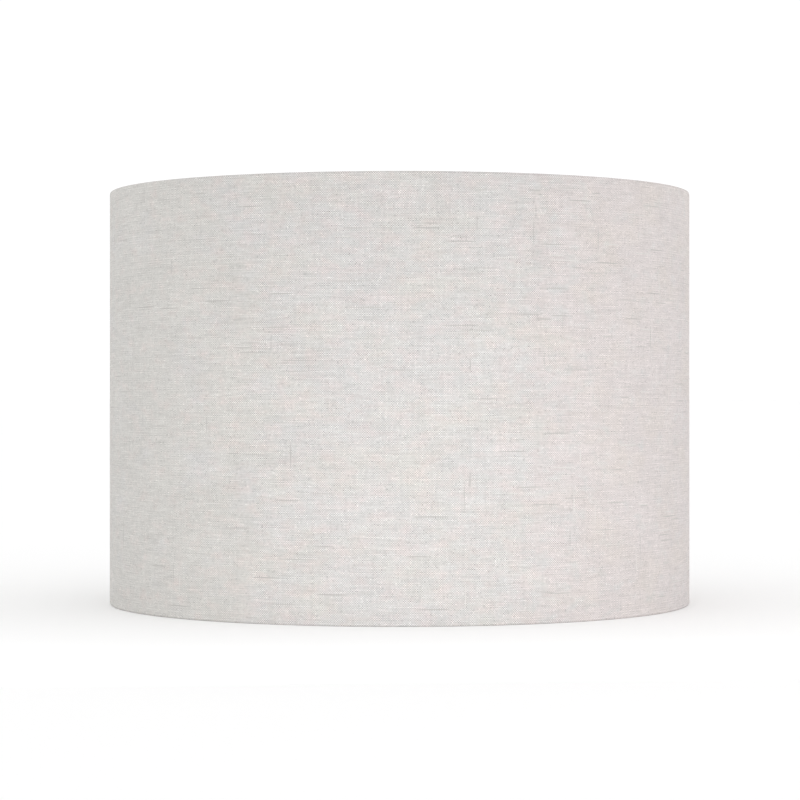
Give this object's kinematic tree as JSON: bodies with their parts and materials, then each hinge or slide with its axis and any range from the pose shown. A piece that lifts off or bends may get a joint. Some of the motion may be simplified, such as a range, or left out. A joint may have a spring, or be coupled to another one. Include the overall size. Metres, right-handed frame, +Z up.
{
  "type": "lamp shade",
  "caption": "Drum lamp shade: linen laminated on a stiff panel, edges rolled over wire rings, and a swinging gimbal fitter with a reducer ring for the lampholder.",
  "frame": {"origin": "on the drum's axis, in the plane of the bottom rolled edge that it stands on", "axes": "+Z up along the drum's axis, +Y towards the seam at the back, +X towards the right spoke"},
  "size_m": [0.4, 0.4011, 0.282],
  "materials": {
    "linen": "matt plain weave with slubs",
    "panel": "satin, slightly translucent",
    "tape": "adhesive film",
    "coated_wire": "semi-gloss powder coat",
    "moulded_ring": "as moulded"
  },
  "bodies": {
    "shade": {"linen_cover": "linen", "stiff_panel": "panel", "seam_tape": "tape", "top_ring": "coated_wire", "bottom_ring": "coated_wire", "top_ring_tape": "tape", "bottom_ring_tape": "tape", "left_spoke": "coated_wire", "right_spoke": "coated_wire"},
    "gimbal": {"left_bail_wire": "coated_wire", "right_bail_wire": "coated_wire", "carrier_ring": "coated_wire"},
    "reducer": {"reducer_ring": "moulded_ring"}
  },
  "joints": [
    {"name": "gimbal_flip", "type": "hinge", "parent": "shade", "child": "gimbal", "pos_m": [0, 0, 0.268], "axis": [1, 0, 0], "continuous": true},
    {"name": "reducer_lift", "type": "slide", "parent": "gimbal", "child": "reducer", "axis": [0, 0, 1], "range_m": [0, 0.07]}
  ]
}
